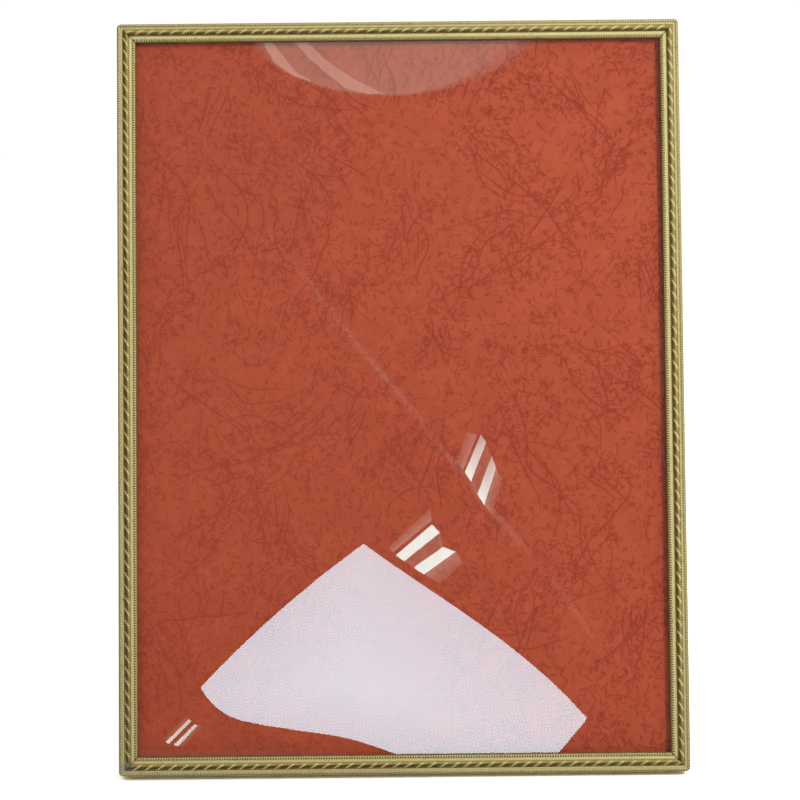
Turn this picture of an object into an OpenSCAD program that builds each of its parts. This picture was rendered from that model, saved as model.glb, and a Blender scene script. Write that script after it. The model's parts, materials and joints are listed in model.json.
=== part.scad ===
// Glazed brass display frame with a rope moulding, a red backing card and a folding easel strut.
// It stands on z = 0, faces -Y and leans back on its open strut.

/* [Frame] */
// Outer width of the brass frame
frame_w = 182; // [150:1:240]
// Outer height of the brass frame
frame_h = 242; // [220:1:320]
// Width of a rail, seen from the front
rail_face = 6.1; // [5.8:0.1:8]
// Thickness of the brass wall
rail_wall = 0.6; // [0.4:0.1:0.8]
// Radius of the rope bead
bead_r = 1.05; // [0.85:0.05:1.1]

/* [Sheets] */
// Thickness of the clear glazing
glazing_t = 1.8; // [1.5:0.1:3]
// Thickness of the red display card
insert_t = 0.45; // [0.3:0.05:1]
// Thickness of the packing card
packing_t = 0.9; // [0.5:0.1:2]
// Thickness of the hardboard back
board_t = 1.7; // [1.5:0.1:3]
// Thickness of the paper skin on the back and the strut
skin_t = 0.3; // [0.2:0.05:0.5]

/* [Strut] */
// Angle at which the frame leans back
lean = 12; // [8:1:15]
// Angle between the back and the open strut
strut_angle = 28; // [24:1:34]
// Height of the strut's hinge above the frame's lower edge
hinge_h = 150; // [130:1:170]
// Width of the strut at its top
strut_top_w = 17; // [16:1:24]
// Width of the strut at its foot
strut_foot_w = 39; // [30:1:50]
// Thickness of the strut's wooden core
strut_core_t = 2; // [1.6:0.1:3]
// Width of the stay ribbon
ribbon_w = 10; // [8:1:14]

/* [Latches] */
// Height of the lower pair of turn buttons
latch_low = 62; // [40:1:80]
// Height of the upper pair of turn buttons
latch_high = 180; // [160:1:200]
// Thickness of a turn button
button_t = 0.6; // [0.4:0.1:0.8]

/* [Hanger] */
// Half the width of the wall ring, to the middle of its wire
ring_r = 5.2; // [4.8:0.1:6.5]
// Radius of the ring's wire
ring_wire_r = 0.75; // [0.6:0.05:0.85]

/* [Hidden] */
$fn = 48;

// Places are given as x, v, u: v is the depth behind the frontmost line, u the height up the frame.
gap = 0.05;
key_t = 0.35;
edge_v = 0.8;
edge_chamfer = 0.25;
floor_v = 1;
face_back = 2.15;
glazing_v = face_back + gap;
insert_v = glazing_v + glazing_t + gap;
packing_v = insert_v + insert_t + gap;
board_v = packing_v + packing_t + gap;
cover_v = board_v + board_t;
back_v = cover_v + skin_t;
rail_depth = back_v + 1.7;
sheet_w = frame_w - 2 * (rail_wall + key_t + gap);
sheet_h = frame_h - 2 * (rail_wall + key_t + gap);
mitre_gap = 0.05;
key_arm = 12;

// Rivets: a domed head outside and a clinched tail sunk in the board's inner side.
shank_r = 0.9;
hole_r = shank_r + gap;
tail_r = 1.6;
tail_t = 0.4;
sink_r = 1.75;
sink_t = 0.5;
head_t = 0.6;

// Turn buttons
button_v = back_v + 0.2;
washer_v = back_v + 0.02;
washer_t = 0.14;
pivot_in = 7.5;
button_reach = pivot_in - 0.2;
button_places = [
    [frame_w / 2 - pivot_in, latch_low],
    [frame_w / 2 - pivot_in, latch_high],
    [pivot_in - frame_w / 2, latch_high],
    [pivot_in - frame_w / 2, latch_low]
];
slot_len = 7.6;
slot_t = button_t + 0.4;

// Strut hinge
knuckle_r = 1.6;
pin_r = 0.8;
axis_v = back_v + knuckle_r + 0.4;
leaf_t = 0.6;
knuckle_half = 5.8;
hinge_half = 12;
base_h = 18;
base_rivet_x = 7;
base_rivet_u = hinge_h + 11;
leaf_half = 6.5;
leaf_drop = 17;
leaf_rivet_drop = 10;

// Strut: the inner face clears the rails' rear edge when it is folded.
strut_v = rail_depth + 0.4;
strut_t = strut_core_t + 2 * skin_t;
strut_top_drop = 3;
neck_in = 0.4;
neck_up = 1.5;
foot_chamfer = 1.2;
floor_spare = 3;
strut_tilt = strut_angle - lean;
axis_z = hinge_h * cos(lean) + (rail_depth - axis_v) * sin(lean);
strut_mid = strut_v + strut_t / 2 - axis_v;
strut_len = (axis_z + strut_mid * sin(strut_tilt)) / cos(strut_tilt);

// Stay ribbon, by its distances from the hinge axis along the back and along the strut
ribbon_t = 0.4;
tab_len = 10;
stay_back = 104;
stay_strut = 108;
stay_head_t = 0.5;

// Wall hanger
strap_half = 2.5;
strap_t = 0.5;
loop_r = 1.4;
loop_bore = ring_wire_r + gap;
ring_u = frame_h - 21;
ring_v = back_v + loop_r + 0.05;
ring_leg = 3;
strap_len = 7;
strap_rivet_up = 4.4;

// Standing pose: the lower rear edge and the strut's foot touch z = 0, and y = 0 halves the depth.
bead_w = 2.75;
front_y = bead_r * cos(lean) + bead_w * sin(lean) - bead_r;
axis_y = axis_v * cos(lean) + hinge_h * sin(lean);
strut_out = strut_v + strut_t - axis_v;
foot_y = axis_y + strut_out * cos(strut_tilt)
    + (axis_z + strut_out * sin(strut_tilt)) * tan(strut_tilt);

module stand() {
    translate([0, -(front_y + foot_y) / 2, rail_depth * sin(lean)])
        rotate([-lean, 0, 0])
            children();
}

// Turns what is drawn for the folded strut to the open strut's place.
module strut_open() {
    translate([0, axis_v, hinge_h])
        rotate([strut_angle, 0, 0])
            translate([0, -axis_v, -hinge_h])
                children();
}

module on_floor() {
    difference() {
        children();
        translate([-frame_w / 2, -frame_h, -frame_h])
            cube([frame_w, 2 * frame_h, frame_h]);
    }
}

// A flat shape drawn in x and u, as thick as from v0 to v1.
module slab(v0, v1) {
    translate([0, v1, 0])
        rotate([90, 0, 0])
            linear_extrude(v1 - v0)
                children();
}

module post(place, v0, v1, r) {
    translate([place[0], v0, place[1]])
        rotate([-90, 0, 0])
            cylinder(h = v1 - v0, r = r);
}

module rod(v, u, x0, x1, r) {
    translate([x0, v, u])
        rotate([0, 90, 0])
            cylinder(h = x1 - x0, r = r);
}

// A rivet head whose flat side is at v.
module dome(place, v, r, h) {
    ball_r = (r * r + h * h) / (2 * h);
    translate([place[0], v, place[1]])
        rotate([-90, 0, 0])
            rotate_extrude()
                intersection() {
                    translate([0, h - ball_r])
                        circle(r = ball_r, $fn = 96);
                    square([r, h]);
                }
}

module rivet(place, tail_v, head_v, head_r) {
    post(place, tail_v, tail_v + tail_t, tail_r);
    post(place, tail_v, head_v + 0.1, shank_r);
    dome(place, head_v, head_r, head_t);
}

module rect(x0, x1, y0, y1) {
    translate([x0, y0])
        square([x1 - x0, y1 - y0]);
}

// ---- Rails ----

// Section of a rail: v runs across, the distance in from the outer edge runs up.
// From the outer edge inwards: a milled strip, a plain floor, the bead, a slope, a milled strip and a lip.
module rail_section() {
    union() {
        polygon([
            [rail_depth, 0],
            [rail_depth, rail_wall],
            [face_back, rail_wall],
            [face_back, rail_face],
            [floor_v + 0.3, rail_face],
            [floor_v + 0.3, rail_face - 0.6],
            [floor_v, rail_face - 0.65],
            [floor_v, rail_face - 1.1],
            [floor_v + 0.2, rail_face - 1.15],
            [floor_v, bead_w],
            [floor_v, 1.1],
            [edge_v, 1],
            [edge_v, edge_chamfer],
            [edge_v + edge_chamfer, 0]
        ]);
        translate([bead_r, bead_w])
            circle(r = bead_r);
    }
}

// A rail along x with its outer edge at u = 0 and both ends mitred.
module rail(len) {
    half = len / 2 - mitre_gap;
    inset = rail_face + 1;
    intersection() {
        rotate([90, 0, 90])
            linear_extrude(len, center = true)
                rail_section();
        slab(-1, rail_depth + 1)
            polygon([[-half, 0], [half, 0], [half - inset, inset], [inset - half, inset]]);
    }
}

module rail_side(side) {
    difference() {
        translate([side * frame_w / 2, 0, frame_h / 2])
            rotate([0, -side * 90, 0])
                rail(frame_h);
        for (u = [latch_low, latch_high])
            translate([side * frame_w / 2 - 2, button_v - 0.2, u - slot_len / 2])
                cube([4, slot_t, slot_len]);
    }
}

module rail_bottom() {
    color("#b5a765") stand() rail(frame_w);
}

module rail_top() {
    color("#b5a765") stand() translate([0, 0, frame_h]) mirror([0, 0, 1]) rail(frame_w);
}

module rail_left() {
    color("#b5a765") stand() rail_side(-1);
}

module rail_right() {
    color("#b5a765") stand() rail_side(1);
}

// Brass angles inside the four corners
module corner_keys() {
    x1 = frame_w / 2 - rail_wall;
    u1 = frame_h / 2 - rail_wall;
    color("#8f8045")
        stand()
            translate([0, 0, frame_h / 2])
                for (sx = [0, 1], su = [0, 1])
                    mirror([sx, 0, 0])
                        mirror([0, 0, su])
                            slab(face_back + gap, rail_depth - 0.6)
                                difference() {
                                    rect(x1 - key_arm, x1, u1 - key_arm, u1);
                                    rect(x1 - key_arm - 1, x1 - key_t, u1 - key_arm - 1, u1 - key_t);
                                }
}

// ---- Sheets ----

module sheet(v0, t) {
    slab(v0, v0 + t)
        rect(-sheet_w / 2, sheet_w / 2, (frame_h - sheet_h) / 2, (frame_h + sheet_h) / 2);
}

module glazing() {
    color("#e6f0f0", 0.3) stand() sheet(glazing_v, glazing_t);
}

module insert_card() {
    color("#ab5239") stand() sheet(insert_v, insert_t);
}

module packing_card() {
    color("#9a948a") stand() sheet(packing_v, packing_t);
}

// Every rivet that passes through the back
function back_rivets() = concat(
    button_places,
    [for (sx = [-1, 1]) [sx * base_rivet_x, base_rivet_u]],
    [[0, hinge_h - stay_back + tab_len / 2]],
    [[0, ring_u + strap_rivet_up]]
);

module back_board() {
    color("#6b5138")
        stand()
            difference() {
                sheet(board_v, board_t);
                for (p = back_rivets()) {
                    post(p, board_v - 1, cover_v + 1, hole_r);
                    post(p, board_v - 1, board_v + sink_t, sink_r);
                }
            }
}

module back_cover() {
    color("#343a33")
        stand()
            difference() {
                sheet(cover_v, skin_t);
                for (p = back_rivets())
                    post(p, cover_v - 1, back_v + 1, hole_r);
            }
}

// ---- Latches ----

// A button's tongue points along x into the slot in the rail.
module button_shape() {
    difference() {
        union() {
            circle(r = 3);
            rect(0, button_reach, -2, 2);
            rect(-6, 0, -2.3, 2.3);
            translate([-6, 0])
                circle(r = 2.3);
        }
        circle(r = hole_r);
    }
}

module turn_button(i) {
    p = button_places[i - 1];
    color("#a8924f")
        stand()
            slab(button_v, button_v + button_t)
                translate(p)
                    scale([sign(p[0]), 1])
                        button_shape();
}

module button_washers() {
    color("#8c8c88")
        stand()
            for (p = button_places)
                difference() {
                    post(p, washer_v, washer_v + washer_t, 2.8);
                    post(p, washer_v - 1, washer_v + 1, hole_r);
                }
}

module button_rivets() {
    color("#a8924f")
        stand()
            for (p = button_places)
                rivet(p, board_v + gap, button_v + button_t + gap, 2);
}

// ---- Strut hinge ----

module hinge_base() {
    color("#9c9a90")
        stand()
            difference() {
                union() {
                    slab(back_v, back_v + leaf_t)
                        union() {
                            rect(-hinge_half, hinge_half, hinge_h, hinge_h + base_h - 3);
                            rect(3 - hinge_half, hinge_half - 3, hinge_h, hinge_h + base_h);
                            for (sx = [-1, 1])
                                translate([sx * (hinge_half - 3), hinge_h + base_h - 3])
                                    circle(r = 3);
                        }
                    for (sx = [-1, 1])
                        rod(axis_v, hinge_h, sx * 9 - 3, sx * 9 + 3, knuckle_r);
                    for (sx = [-1, 1])
                        slab(back_v, axis_v)
                            rect(sx * 9 - 3, sx * 9 + 3, hinge_h + 0.8, hinge_h + knuckle_r);
                }
                rod(axis_v, hinge_h, -20, 20, pin_r + gap);
                slab(back_v - 1, rail_depth + 4)
                    rect(-6, 6, hinge_h - 3, hinge_h + 2.2);
                for (sx = [-1, 1])
                    post([sx * base_rivet_x, base_rivet_u], back_v - 1, back_v + 2, hole_r);
            }
}

module hinge_rivets() {
    color("#b0aea4")
        stand()
            for (sx = [-1, 1])
                rivet([sx * base_rivet_x, base_rivet_u], board_v + gap, back_v + leaf_t, 2.1);
}

module hinge_pin() {
    color("#b0aea4")
        stand() {
            rod(axis_v, hinge_h, -hinge_half - 0.2, hinge_half + 0.2, pin_r);
            for (sx = [-1, 1])
                rod(axis_v, hinge_h, sx * (hinge_half + 0.45) - 0.35, sx * (hinge_half + 0.45) + 0.35, 1.25);
        }
}

module hinge_leaf() {
    color("#9c9a90")
        stand()
            strut_open()
                difference() {
                    union() {
                        rod(axis_v, hinge_h, -knuckle_half, knuckle_half, knuckle_r);
                        slab(strut_v - leaf_t, strut_v)
                            rect(-knuckle_half, knuckle_half, hinge_h - 4, hinge_h);
                        slab(strut_v - leaf_t, strut_v)
                            union() {
                                rect(-leaf_half, leaf_half, hinge_h - leaf_drop + 3, hinge_h - 3);
                                rect(3 - leaf_half, leaf_half - 3, hinge_h - leaf_drop, hinge_h - 3);
                                for (sx = [-1, 1])
                                    translate([sx * (leaf_half - 3), hinge_h - leaf_drop + 3])
                                        circle(r = 3);
                            }
                    }
                    rod(axis_v, hinge_h, -20, 20, pin_r + gap);
                    post([0, hinge_h - leaf_rivet_drop], strut_v - 2, strut_v + 1, hole_r);
                }
}

module strut_rivet() {
    p = [0, hinge_h - leaf_rivet_drop];
    color("#a8924f")
        stand()
            strut_open() {
                post(p, strut_v - leaf_t - 0.35, strut_v - leaf_t, tail_r);
                post(p, strut_v - leaf_t - 0.35, strut_v + strut_t + 0.1, shank_r);
                dome(p, strut_v + strut_t, 2.6, 0.8);
            }
}

// ---- Strut ----

// Outline of the strut, drawn smaller all round by inset; it runs on below the floor.
module strut_shape(inset) {
    top_r = strut_top_w / 2 - inset;
    top_u = hinge_h - strut_top_drop - strut_top_w / 2;
    foot_u = hinge_h - strut_len;
    foot_x = strut_foot_w / 2 - inset;
    union() {
        translate([0, top_u])
            circle(r = top_r);
        polygon([
            [neck_in - top_r, top_u + neck_up],
            [-foot_x, foot_u + foot_chamfer],
            [foot_chamfer - foot_x, foot_u],
            [foot_chamfer - foot_x, foot_u - floor_spare],
            [foot_x - foot_chamfer, foot_u - floor_spare],
            [foot_x - foot_chamfer, foot_u],
            [foot_x, foot_u + foot_chamfer],
            [top_r - neck_in, top_u + neck_up]
        ]);
    }
}

module strut_holes() {
    post([0, hinge_h - leaf_rivet_drop], strut_v - 1, strut_v + strut_t + 1, hole_r);
    post([0, hinge_h - stay_strut - tab_len / 2], strut_v - 1, strut_v + strut_t + 1, hole_r);
}

module strut_board() {
    color("#7a5c3c")
        on_floor()
            stand()
                strut_open()
                    difference() {
                        slab(strut_v + skin_t, strut_v + skin_t + strut_core_t)
                            strut_shape(skin_t);
                        strut_holes();
                    }
}

module strut_cover() {
    color("#343a33")
        on_floor()
            stand()
                strut_open()
                    difference() {
                        slab(strut_v, strut_v + strut_t)
                            strut_shape(0);
                        slab(strut_v + skin_t, strut_v + skin_t + strut_core_t)
                            strut_shape(skin_t);
                        strut_holes();
                    }
}

// ---- Stay ribbon ----

module stay_ribbon() {
    half = ribbon_w / 2;
    near_v = back_v + gap;
    near_u = hinge_h - stay_back;
    // The far end lies on the open strut's inner face.
    reach = strut_v - gap - ribbon_t - axis_v;
    far_v = axis_v + reach * cos(strut_angle) + stay_strut * sin(strut_angle);
    far_u = hinge_h + reach * sin(strut_angle) - stay_strut * cos(strut_angle);
    span = norm([far_v - near_v, far_u - near_u]);
    rise = atan2(far_u - near_u, far_v - near_v);
    color("#23261f")
        stand() {
            difference() {
                slab(near_v, near_v + ribbon_t)
                    rect(-half, half, near_u, near_u + tab_len);
                post([0, near_u + tab_len / 2], back_v - 1, back_v + 2, hole_r);
            }
            translate([-half, near_v, near_u])
                rotate([rise, 0, 0])
                    cube([ribbon_w, span, ribbon_t]);
            strut_open()
                difference() {
                    slab(strut_v - gap - ribbon_t, strut_v - gap)
                        rect(-half, half, hinge_h - stay_strut - tab_len, hinge_h - stay_strut + ribbon_t);
                    post([0, hinge_h - stay_strut - tab_len / 2], strut_v - 2, strut_v, hole_r + 0.15);
                }
        }
}

module stay_rivet_back() {
    color("#a8924f")
        stand()
            rivet([0, hinge_h - stay_back + tab_len / 2], board_v + gap, back_v + 2 * gap + ribbon_t, 2.2);
}

module stay_rivet_strut() {
    p = [0, hinge_h - stay_strut - tab_len / 2];
    head_v = strut_v - 2 * gap - ribbon_t - stay_head_t;
    color("#a8924f")
        stand()
            strut_open() {
                post(p, head_v, head_v + stay_head_t, 2.2);
                post(p, head_v, strut_v + strut_t + 0.1, shank_r);
                dome(p, strut_v + strut_t, 2.2, head_t);
            }
}

// ---- Wall hanger ----

module hanger_strap() {
    color("#a8924f")
        stand()
            difference() {
                union() {
                    slab(back_v, back_v + strap_t)
                        union() {
                            rect(-strap_half, strap_half, ring_u, ring_u + strap_len - 1.5);
                            rect(1.5 - strap_half, strap_half - 1.5, ring_u, ring_u + strap_len);
                            for (sx = [-1, 1])
                                translate([sx * (strap_half - 1.5), ring_u + strap_len - 1.5])
                                    circle(r = 1.5);
                        }
                    rod(ring_v, ring_u, -strap_half, strap_half, loop_r);
                }
                rod(ring_v, ring_u, -20, 20, loop_bore);
                post([0, ring_u + strap_rivet_up], back_v - 1, back_v + 2, hole_r);
            }
}

module hanger_rivet() {
    color("#a8924f")
        stand()
            rivet([0, ring_u + strap_rivet_up], board_v + gap, back_v + strap_t, 1.9);
}

// A D-shaped ring that hangs plumb from its straight side
module hanger_ring() {
    color("#b5a765")
        stand()
            translate([0, ring_v, ring_u])
                rotate([lean, 0, 0]) {
                    rod(0, 0, -ring_r, ring_r, ring_wire_r);
                    for (sx = [-1, 1])
                        translate([sx * ring_r, 0, -ring_leg]) {
                            cylinder(h = ring_leg, r = ring_wire_r);
                            translate([0, 0, ring_leg])
                                sphere(r = ring_wire_r);
                        }
                    translate([0, 0, -ring_leg])
                        rotate([90, 180, 0])
                            rotate_extrude(angle = 180)
                                translate([ring_r, 0])
                                    circle(r = ring_wire_r);
                }
}

rail_top();
rail_bottom();
rail_left();
rail_right();
corner_keys();
glazing();
insert_card();
packing_card();
back_board();
back_cover();
turn_button(1);  // turn_button_1
turn_button(2);  // turn_button_2
turn_button(3);  // turn_button_3
turn_button(4);  // turn_button_4
button_washers();
button_rivets();
hinge_base();
hinge_rivets();
hinge_pin();
hinge_leaf();
strut_rivet();
strut_board();
strut_cover();
stay_ribbon();
stay_rivet_back();
stay_rivet_strut();
hanger_strap();
hanger_rivet();
hanger_ring();
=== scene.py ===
"""Looks for a glazed brass display frame: rope-moulded rails, wavy glazing over a red leather-grain card,
a paper-covered back with turn buttons, and a folding easel strut held by a woven ribbon.

Local places are (x, v, u) in millimetres: x across, v the depth behind the frontmost line of the rails,
and u the height up the leaning frame. to_row() turns them into the row frame, in metres.
"""

import json
import math

import bmesh
import bpy
import numpy as np
from mathutils import Matrix, Vector


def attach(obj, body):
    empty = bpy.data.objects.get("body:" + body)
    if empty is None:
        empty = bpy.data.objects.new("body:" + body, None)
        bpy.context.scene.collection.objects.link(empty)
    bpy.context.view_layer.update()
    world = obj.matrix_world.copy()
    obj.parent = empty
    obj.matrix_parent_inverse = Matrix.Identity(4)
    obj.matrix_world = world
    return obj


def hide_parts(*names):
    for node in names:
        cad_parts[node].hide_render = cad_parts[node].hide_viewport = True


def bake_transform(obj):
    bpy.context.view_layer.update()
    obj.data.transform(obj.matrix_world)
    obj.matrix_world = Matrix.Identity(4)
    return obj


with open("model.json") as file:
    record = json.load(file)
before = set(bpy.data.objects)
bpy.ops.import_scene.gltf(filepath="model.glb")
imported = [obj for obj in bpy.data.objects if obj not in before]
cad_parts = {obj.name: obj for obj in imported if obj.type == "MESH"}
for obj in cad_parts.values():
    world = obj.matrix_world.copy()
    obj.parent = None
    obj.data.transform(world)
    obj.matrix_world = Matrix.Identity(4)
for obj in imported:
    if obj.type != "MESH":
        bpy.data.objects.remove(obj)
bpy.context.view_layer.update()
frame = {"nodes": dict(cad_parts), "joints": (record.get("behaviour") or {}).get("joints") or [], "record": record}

MM = 0.001
SEED = 11
RAILS = ("rail_top", "rail_right", "rail_bottom", "rail_left")


# ---- The leaning frame's own axes ----


def cad_points(node):
    """A CAD node's points in the row frame."""
    return np.array([v.co for v in frame["nodes"][node].data.vertices], float).reshape(-1, 3)


MOUNTS = {mount["name"]: mount for mount in frame["record"]["mounts"]}
ACROSS = np.array([1.0, 0.0, 0.0])
UP = -np.array(MOUNTS["base_rest"]["axis"], float)
UP /= np.linalg.norm(UP)
BACK = np.cross(UP, ACROSS)
RAIL_POINTS = np.concatenate([cad_points(name) for name in RAILS])
ORIGIN = BACK * (RAIL_POINTS @ BACK).min() + UP * (RAIL_POINTS @ UP).min()


def to_row(points):
    """Local points in millimetres to the row frame in metres."""
    p = np.asarray(points, float).reshape(-1, 3) * MM
    return ORIGIN + p[:, :1] * ACROSS + p[:, 1:2] * BACK + p[:, 2:] * UP


def to_local(points):
    """Row frame points in metres to local ones in millimetres."""
    p = np.asarray(points, float).reshape(-1, 3) - ORIGIN
    return np.stack([p @ ACROSS, p @ BACK, p @ UP], axis=1) / MM


def local_box(node):
    """Lowest and highest local corner of a CAD node, in millimetres."""
    p = to_local(cad_points(node))
    return p.min(0), p.max(0)


FRAME_LOW, FRAME_HIGH = to_local(RAIL_POINTS).min(0), to_local(RAIL_POINTS).max(0)
FRAME_W = FRAME_HIGH[0] - FRAME_LOW[0]
FRAME_H = FRAME_HIGH[2]
RAIL_DEPTH = FRAME_HIGH[1]
RAIL_FACE = local_box("rail_bottom")[1][2]
RAIL_WALL = 0.6
CARD_LOW, CARD_HIGH = local_box("insert_card")
GLASS_LOW, GLASS_HIGH = local_box("glazing")
JOINTS = {joint["name"]: joint for joint in frame["joints"]}
OPEN_ANGLE = math.radians(-JOINTS["strut_fold"]["range_deg"][0])
HINGE = to_local(JOINTS["strut_fold"]["pos_m"])[0]
FRONT_EDGE = to_row([(0, 0, 0)])[0]


# ---- Small helpers ----


def smooth(low, high, x):
    """0 below low, 1 above high and a soft step in between."""
    t = np.clip((np.asarray(x, float) - low) / (high - low), 0, 1)
    return t * t * (3 - 2 * t)


def new_object(name, data):
    made = bpy.data.objects.new(name, data)
    bpy.context.scene.collection.objects.link(made)
    return made


def mesh_object(name, points, faces, material):
    """An object from points in the row frame."""
    mesh = bpy.data.meshes.new(name)
    mesh.from_pydata(points.tolist(), [], faces)
    mesh.materials.append(material)
    return new_object(name, mesh)


def mesh_piece(name, points, faces, material, body, shade_smooth=True):
    """A new piece from local points, riding on a CAD body."""
    piece = mesh_object(name, to_row(points), faces, material)
    piece.data.polygons.foreach_set("use_smooth", [shade_smooth] * len(faces))
    piece.data.update()
    if body:
        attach(piece, body)
    return piece


def outward(piece):
    """Turns all the faces of a closed mesh outwards."""
    work = bmesh.new()
    work.from_mesh(piece.data)
    bmesh.ops.recalc_face_normals(work, faces=work.faces)
    work.to_mesh(piece.data)
    work.free()


def point_value(piece, name, values):
    """Stores one number per point, for the piece's material to read."""
    stored = piece.data.attributes.new(name, "FLOAT", "POINT")
    stored.data.foreach_set("value", np.asarray(values, np.float32))


def strip_faces(rows, columns, closed=False):
    """Quads of a grid of points, row by row; closed joins the last column to the first."""
    faces = []
    wide = columns if closed else columns - 1
    for i in range(rows - 1):
        for j in range(wide):
            k = (j + 1) % columns
            faces.append((i * columns + j, i * columns + k, (i + 1) * columns + k, (i + 1) * columns + j))
    return faces


# ---- Material helpers ----


def put(tree, kind, sockets={}, out=0, **settings):
    """Adds a node and gives its output. A socket's value is a constant or another node's output."""
    node = tree.nodes.new("ShaderNode" + kind)
    for key, value in settings.items():
        setattr(node, key, value)
    for key, value in sockets.items():
        if isinstance(value, bpy.types.NodeSocket):
            tree.links.new(value, node.inputs[key])
        else:
            node.inputs[key].default_value = value
    return node.outputs[out] if node.outputs else None


def colour(r, g, b):
    return (r, g, b, 1.0)


def math_node(tree, operation, a, b=0.0, c=0.0, clamp=False):
    return put(tree, "Math", {0: a, 1: b, 2: c}, operation=operation, use_clamp=clamp)


def times(tree, a, b, clamp=False):
    return math_node(tree, "MULTIPLY", a, b, clamp=clamp)


def fitted(tree, value, by, plus, clamp=False):
    """value * by + plus"""
    return math_node(tree, "MULTIPLY_ADD", value, by, plus, clamp)


def mixed(tree, factor, a, b, blend="MIX"):
    """Two colours mixed by a factor."""
    return put(tree, "Mix", {0: factor, 6: a, 7: b}, 2, data_type="RGBA", blend_type=blend)


def step(tree, value, low, high):
    """A soft step from 0 at low to 1 at high; it falls where low is above high."""
    ends = (low, high, 0.0, 1.0) if low < high else (high, low, 1.0, 0.0)
    sockets = dict(enumerate((value, *ends)))
    return put(tree, "MapRange", sockets, interpolation_type="SMOOTHSTEP")


def noise(tree, scale, detail, rough, place, distortion=0.0):
    """Soft noise round 0.5."""
    sockets = {"Vector": place, "Scale": scale, "Detail": detail, "Roughness": rough}
    return put(tree, "TexNoise", sockets | {"Distortion": distortion})


def attribute(tree, name):
    """A number that point_value() stored at each point."""
    return put(tree, "Attribute", out="Fac", attribute_name=name)


def bump(tree, height, distance, strength):
    return put(tree, "Bump", {"Height": height, "Distance": distance, "Strength": strength})


def new_material(name):
    material = bpy.data.materials.new(name)
    material.use_nodes = True
    material.node_tree.nodes.clear()
    return material, material.node_tree


def placed_material(name):
    """A new material, its tree, and the points' places on their own piece, in metres."""
    material, tree = new_material(name)
    return material, tree, put(tree, "TexCoord", out="Object")


def surface(tree, shader):
    put(tree, "OutputMaterial", {0: shader})


def principled(tree, base, rough, more):
    """The usual surface: its colour, its roughness and more sockets by name."""
    surface(tree, put(tree, "BsdfPrincipled", {"Base Color": base, "Roughness": rough, **more}))


# ---- Materials ----


def brass_material(name, moulded):
    """Aged yellow brass: tarnish in the hollows with painted shade on the moulded rails' inner lips, bead feet and
    outer edges, rubbed pale crests, faint spots and a drawn grain.
    """
    material, tree, place = placed_material(name)
    patches = noise(tree, 55.0, 4.0, 0.6, place)
    spots = noise(tree, 900.0, 3.0, 0.6, place)
    fine = noise(tree, 2600.0, 2.0, 0.5, place)
    olive = mixed(tree, patches, colour(0.50, 0.41, 0.12), colour(0.62, 0.52, 0.19))
    pale = mixed(tree, patches, colour(0.61, 0.52, 0.24), colour(0.73, 0.63, 0.31))
    worn = attribute(tree, "worn") if moulded else fitted(tree, patches, 0.5, 0.2)
    aged = mixed(tree, times(tree, worn, 2.0, clamp=True), olive, pale)
    stained = times(tree, step(tree, spots, 0.58, 0.72), 0.6)
    aged = mixed(tree, stained, aged, colour(0.36, 0.27, 0.08))
    dull = times(tree, step(tree, patches, 0.50, 0.72), 0.3)
    metal = fitted(tree, worn, -0.75, 0.98)
    if moulded:
        tarnish_and_shade = attribute(tree, "tarnish_and_shade")
        solder = attribute(tree, "solder")
        uneven = fitted(tree, spots, 0.5, 0.74)
        dirt_and_shade = times(tree, tarnish_and_shade, uneven, clamp=True)
        # Dark olive for tarnish in the hollows and for painted shade on the inner lips, bead feet and outer edges.
        aged = mixed(tree, dirt_and_shade, aged, colour(0.085, 0.060, 0.008))
        aged = mixed(tree, solder, aged, colour(0.30, 0.29, 0.26))
        dull = math_node(tree, "MAXIMUM", dull, dirt_and_shade)
    rough = fitted(tree, dull, 0.22, 0.27)
    rough = fitted(tree, fine, 0.10, rough)
    metal = fitted(tree, dull, -0.15, metal)
    normal = bump(tree, math_node(tree, "ADD", fine, spots), 0.00002, 0.6)
    principled(tree, aged, rough, {"Metallic": metal, "Specular IOR Level": 0.25, "Normal": normal})
    return material


def glass_material():
    """Thin clear sheet: see-through, with the sharp mirror of its two faces, dust and one scuff."""
    material, tree, place = placed_material("clear_glazing")
    facing = put(tree, "LayerWeight", {"Blend": 0.5}, "Facing")
    fresnel = fitted(tree, math_node(tree, "POWER", facing, 5.0), 0.91, 0.08)
    front = math_node(tree, "SUBTRACT", 1.0, put(tree, "NewGeometry", out="Backfacing"))
    wave = bump(tree, noise(tree, 6.0, 0.0, 0.4, place), 0.0003, 0.2)
    clear = put(tree, "BsdfTransparent", {"Color": colour(0.975, 0.98, 0.975)})
    mirror = put(tree, "BsdfGlossy", {"Color": colour(1, 1, 1), "Roughness": 0.0, "Normal": wave})
    dust = put(tree, "BsdfDiffuse", {"Color": colour(0.86, 0.80, 0.78)})
    haze = times(tree, scuff_mask(tree, place), 0.034)
    specks = step(tree, noise(tree, 1500.0, 2.0, 0.5, place), 0.765, 0.80)
    haze = fitted(tree, specks, 0.16, haze)
    haze = times(tree, haze, front)
    body = put(tree, "MixShader", {0: haze, 1: clear, 2: dust})
    shine = times(tree, fresnel, front)
    surface(tree, put(tree, "MixShader", {0: shine, 1: body, 2: mirror}))
    return material


SCUFF_START = (-52.0, 186.0)
SCUFF_END = (68.0, 34.0)


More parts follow.
